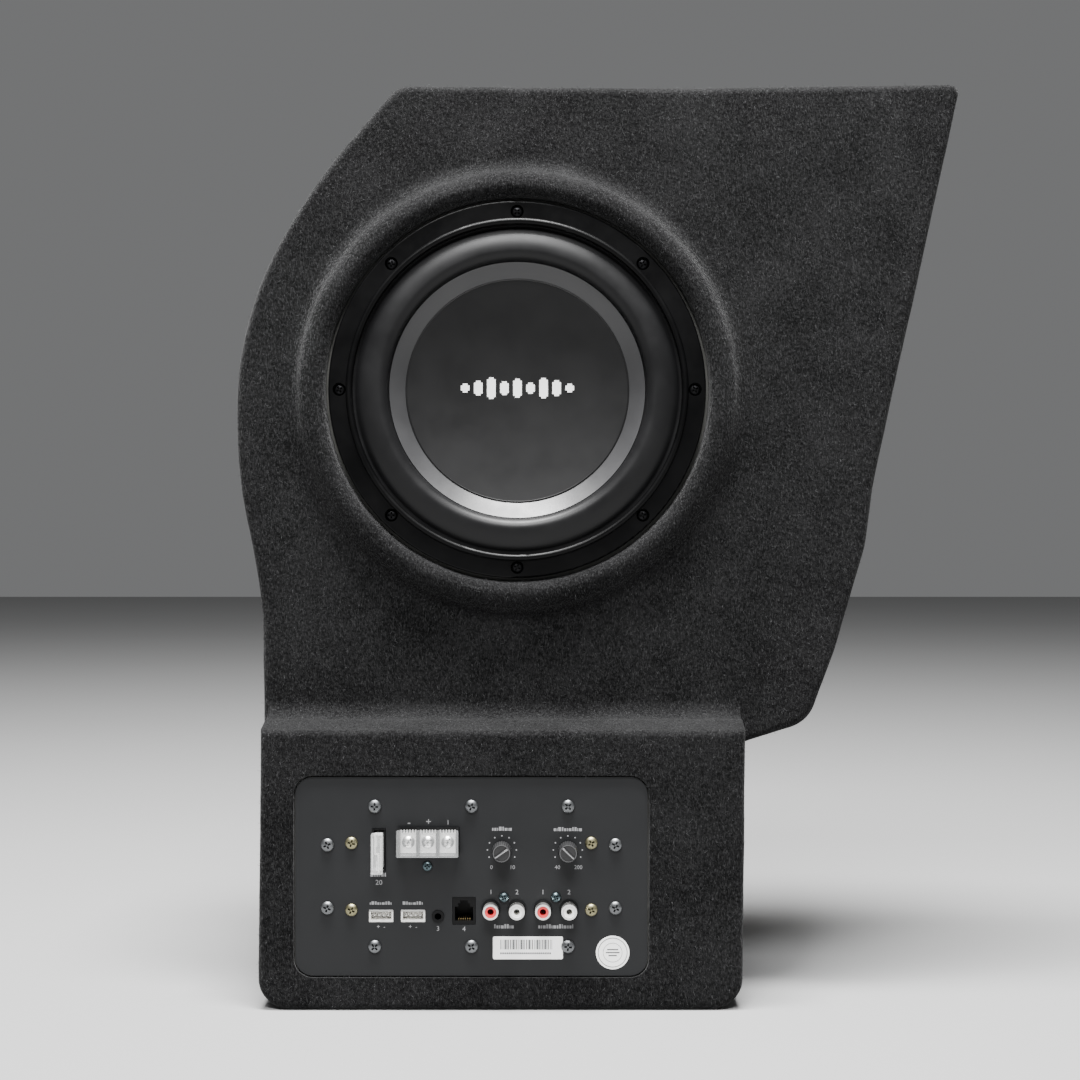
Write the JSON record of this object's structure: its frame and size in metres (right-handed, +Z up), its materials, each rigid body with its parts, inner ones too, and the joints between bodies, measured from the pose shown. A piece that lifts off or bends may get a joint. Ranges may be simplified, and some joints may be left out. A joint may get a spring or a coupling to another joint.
{
  "type": "powered car subwoofer",
  "caption": "Carpeted moulded corner enclosure with a round bass driver above a stepped box that holds an amplifier plate with controls, fuse, terminals and sockets.",
  "frame": {"origin": "on the base, under the middle of the whole object", "axes": "+Z up, -Y the front with the driver and the amplifier plate, +X to the right seen from the front"},
  "size_m": [0.4011, 0.1671, 0.5064],
  "materials": {
    "carpet": "black needle felt",
    "glass_fibre": "rough moulded",
    "board": "raw fibreboard",
    "plywood": "raw plywood",
    "rubber": "matt black",
    "surround_rubber": "satin black",
    "foam": "closed cell foam",
    "zinc_steel": "zinc plated",
    "yellow_zinc": "yellow zinc plated",
    "blue_zinc": "blue black plated",
    "black_steel": "black painted",
    "black_paint": "fine satin black",
    "satin_cone": "satin grey",
    "matt_cap": "matt, fine grain",
    "aluminium": "mill finish",
    "copper": "enamelled copper",
    "tinned_copper": "tinned braid",
    "spider_cloth": "resin treated cotton",
    "ferrite": "sintered ferrite",
    "board_green": "green circuit board",
    "capacitor_sleeve": "shrink sleeve",
    "lead_insulation": "soft insulation",
    "black_plastic": "moulded black",
    "knob_plastic": "satin black",
    "white_plastic": "moulded white",
    "red_plastic": "moulded red",
    "clear_plastic": "clear moulded plastic",
    "nickel": "nickel plated",
    "gilt": "gilt",
    "paper": "printed paper"
  },
  "bodies": {
    "enclosure": {"carpet": "carpet", "front_shell": "glass_fibre", "back_panel": "board", "batten_frame": "board", "driver_ring": "plywood", "amp_frame": "board", "bay_divider": "board", "lead_grommet": "rubber", "threaded_inserts": "zinc_steel", "back_screws": "black_steel", "basket": "black_steel", "basket_seal": "foam", "surround": "surround_rubber", "gasket_ring": "rubber", "spider": "spider_cloth", "top_plate": "zinc_steel", "magnet": "ferrite", "yoke": "zinc_steel", "magnet_boot": "rubber", "driver_screws": "black_steel", "driver_terminals": "board_green", "tinsel_leads": "tinned_copper", "speaker_leads": "lead_insulation", "amp_plate": "black_paint", "plate_seal": "foam", "plate_screws": "zinc_steel", "bracket_screws": "yellow_zinc", "block_screws": "blue_zinc", "heatsinks": "aluminium", "main_board": "board_green", "front_board": "board_green", "capacitors": "capacitor_sleeve", "toroid": "copper", "transistors": "black_plastic", "terminal_block": "black_plastic", "terminal_plates": "nickel", "fuse_holder": "black_plastic", "potentiometers": "black_plastic", "level_sockets": "white_plastic", "header_pins": "nickel", "aux_jack": "black_plastic", "remote_jack": "black_plastic", "remote_contacts": "gilt", "rca_bodies": "black_plastic", "rca_shells": "nickel", "rca_cores_red": "red_plastic", "rca_cores_white": "white_plastic", "labels": "paper"},
    "cone_drive": {"cone": "satin_cone", "dust_cap": "matt_cap", "coil_former": "aluminium", "voice_coil": "copper"},
    "volume_control": {"volume_knob": "knob_plastic"},
    "frequency_control": {"frequency_knob": "knob_plastic"},
    "fuse": {"fuse_body": "clear_plastic", "fuse_blades": "nickel"},
    "terminal_lid": {"terminal_cover": "clear_plastic"},
    "terminal_clamp_1": {"terminal_screw_1": "nickel"},
    "terminal_clamp_2": {"terminal_screw_2": "nickel"},
    "terminal_clamp_3": {"terminal_screw_3": "nickel"}
  },
  "joints": [
    {"name": "cone_travel", "type": "slide", "parent": "enclosure", "child": "cone_drive", "axis": [0, -1, 0], "range_m": [-0.006, 0.006], "stiffness_N_per_m": 2500, "deforming": ["surround", "spider", "tinsel_leads"]},
    {"name": "volume_turn", "type": "hinge", "parent": "enclosure", "child": "volume_control", "pos_m": [-0.0521, -0.075, 0.086], "axis": [0, -1, 0], "range_deg": [-248, 0]},
    {"name": "frequency_turn", "type": "hinge", "parent": "enclosure", "child": "frequency_control", "pos_m": [-0.0166, -0.075, 0.086], "axis": [0, -1, 0], "range_deg": [0, 248]},
    {"name": "fuse_pull", "type": "slide", "parent": "enclosure", "child": "fuse", "axis": [0, -1, 0], "range_m": [0, 0.02]},
    {"name": "cover_lift", "type": "slide", "parent": "enclosure", "child": "terminal_lid", "axis": [0, -1, 0], "range_m": [0, 0.015]},
    {"name": "clamp_1_lift", "type": "slide", "parent": "enclosure", "child": "terminal_clamp_1", "axis": [0, -1, 0], "range_m": [0, 0.0025]},
    {"name": "clamp_2_lift", "type": "slide", "parent": "enclosure", "child": "terminal_clamp_2", "axis": [0, -1, 0], "range_m": [0, 0.0025]},
    {"name": "clamp_3_lift", "type": "slide", "parent": "enclosure", "child": "terminal_clamp_3", "axis": [0, -1, 0], "range_m": [0, 0.0025]}
  ]
}
